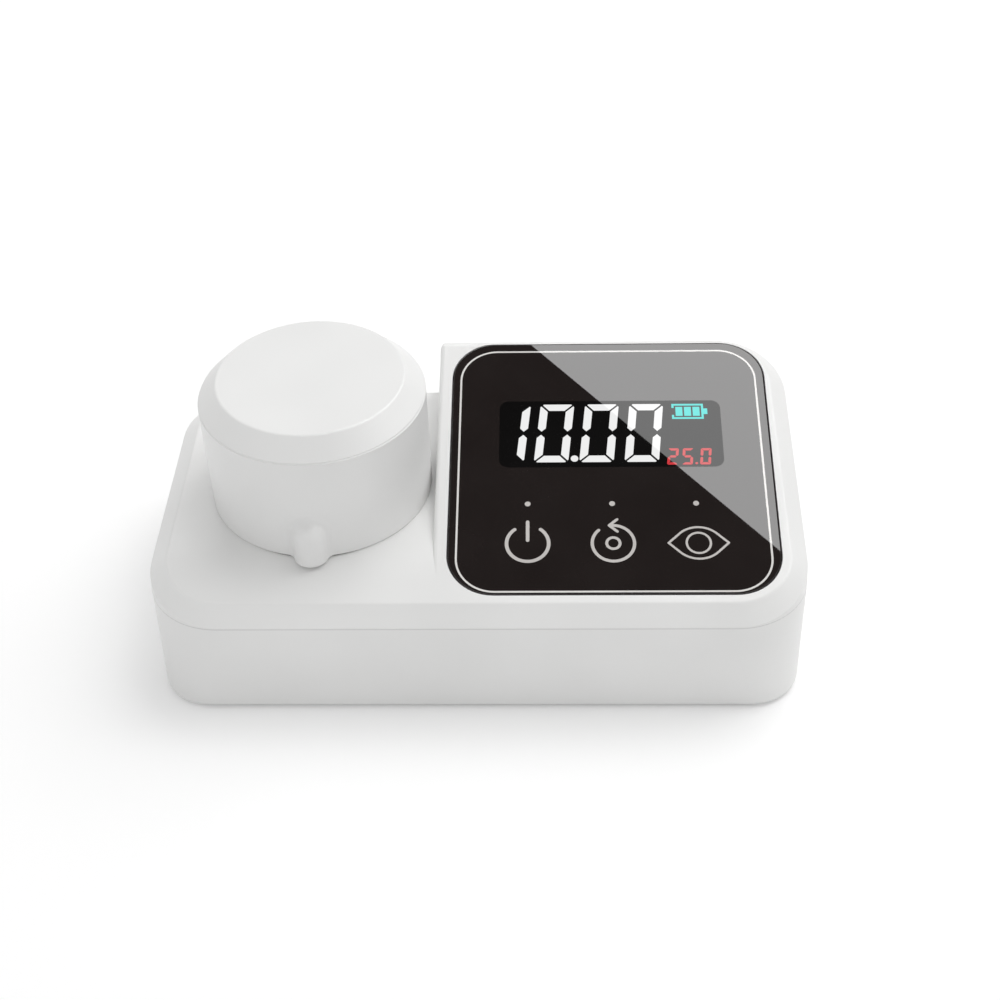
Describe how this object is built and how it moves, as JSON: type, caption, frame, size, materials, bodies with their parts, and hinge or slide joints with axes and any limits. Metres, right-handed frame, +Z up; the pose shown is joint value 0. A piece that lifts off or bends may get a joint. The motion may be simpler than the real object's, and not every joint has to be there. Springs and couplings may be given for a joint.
{
  "type": "portable colorimeter",
  "caption": "Low wedge housing with a glass touch panel and display on a sloping console, and a cell well under a lift-off light shield on a level deck.",
  "frame": {"origin": "on the table under the middle of the housing's outline", "axes": "+X along the housing towards the touch panel, -Y towards the user, +Z up"},
  "size_m": [0.16, 0.086, 0.07],
  "materials": {
    "housing_white": "satin moulded ABS",
    "panel_glass": "black back-printed cover glass, polished",
    "tape_black": "die-cut adhesive film",
    "display_black": "dark display face in a black frame",
    "board_green": "solder-masked circuit board",
    "spring_steel": "bright spring steel",
    "screw_steel": "zinc-plated steel",
    "lamp_clear": "clear epoxy lamp",
    "feet_rubber": "matt rubber",
    "well_black": "matt black moulded plastic",
    "filter_glass": "green interference filter",
    "detector_metal": "metal detector can",
    "lead_grey": "vinyl-covered lead",
    "battery_wrap": "plain printed cell wrap",
    "contact_metal": "nickel-plated spring sheet",
    "seal_foam": "closed-cell black foam",
    "cell_glass": "clear borosilicate glass",
    "cell_cap_black": "moulded polypropylene",
    "liner_white": "soft sealing liner"
  },
  "bodies": {
    "housing": {"upper_shell": "housing_white", "lower_shell": "housing_white", "touch_panel": "panel_glass", "panel_adhesive": "tape_black", "display_module": "display_black", "main_board": "board_green", "touch_springs": "spring_steel", "indicator_leds": "lamp_clear", "board_screws": "screw_steel", "housing_screws": "screw_steel", "rubber_feet": "feet_rubber", "cell_holder": "well_black", "holder_screws": "screw_steel", "source_lamp": "lamp_clear", "lamp_board": "board_green", "optical_filter": "filter_glass", "photodiode": "detector_metal", "detector_board": "board_green", "optics_screws": "screw_steel", "sensor_ribbon": "lead_grey", "lamp_lead": "lead_grey", "battery_front": "battery_wrap", "battery_back": "battery_wrap", "contact_bridge": "contact_metal", "contact_positive": "contact_metal", "contact_negative": "contact_metal", "battery_leads": "lead_grey", "deck_seal": "seal_foam"},
    "shield": {"shield_cap": "housing_white"},
    "cell": {"sample_cell": "cell_glass"},
    "closure_lift": {"cell_liner": "liner_white"},
    "closure": {"cell_cap": "cell_cap_black"},
    "door": {"battery_door": "housing_white"}
  },
  "joints": [
    {"name": "shield_lift", "type": "slide", "parent": "housing", "child": "shield", "axis": [0, 0, 1], "range_m": [0, 0.08]},
    {"name": "cell_lift", "type": "slide", "parent": "housing", "child": "cell", "axis": [0, 0, 1], "range_m": [0, 0.044]},
    {"name": "closure_rise", "type": "slide", "parent": "cell", "child": "closure_lift", "axis": [0, 0, 1], "range_m": [0, 0.0045]},
    {"name": "closure_turn", "type": "hinge", "parent": "closure_lift", "child": "closure", "pos_m": [-0.0398, 0.00127, 0.055], "axis": [0, 0, 1], "range_deg": [0, 540]},
    {"name": "door_slide", "type": "slide", "parent": "housing", "child": "door", "axis": [0, 1, 0], "range_m": [0, 0.033]}
  ],
  "couplings": [
    {"joint": "cell_lift", "follows": "shield_lift", "ratio": 0.55},
    {"joint": "closure_turn", "follows": "closure_rise", "rad_per_m": 2094.4}
  ]
}
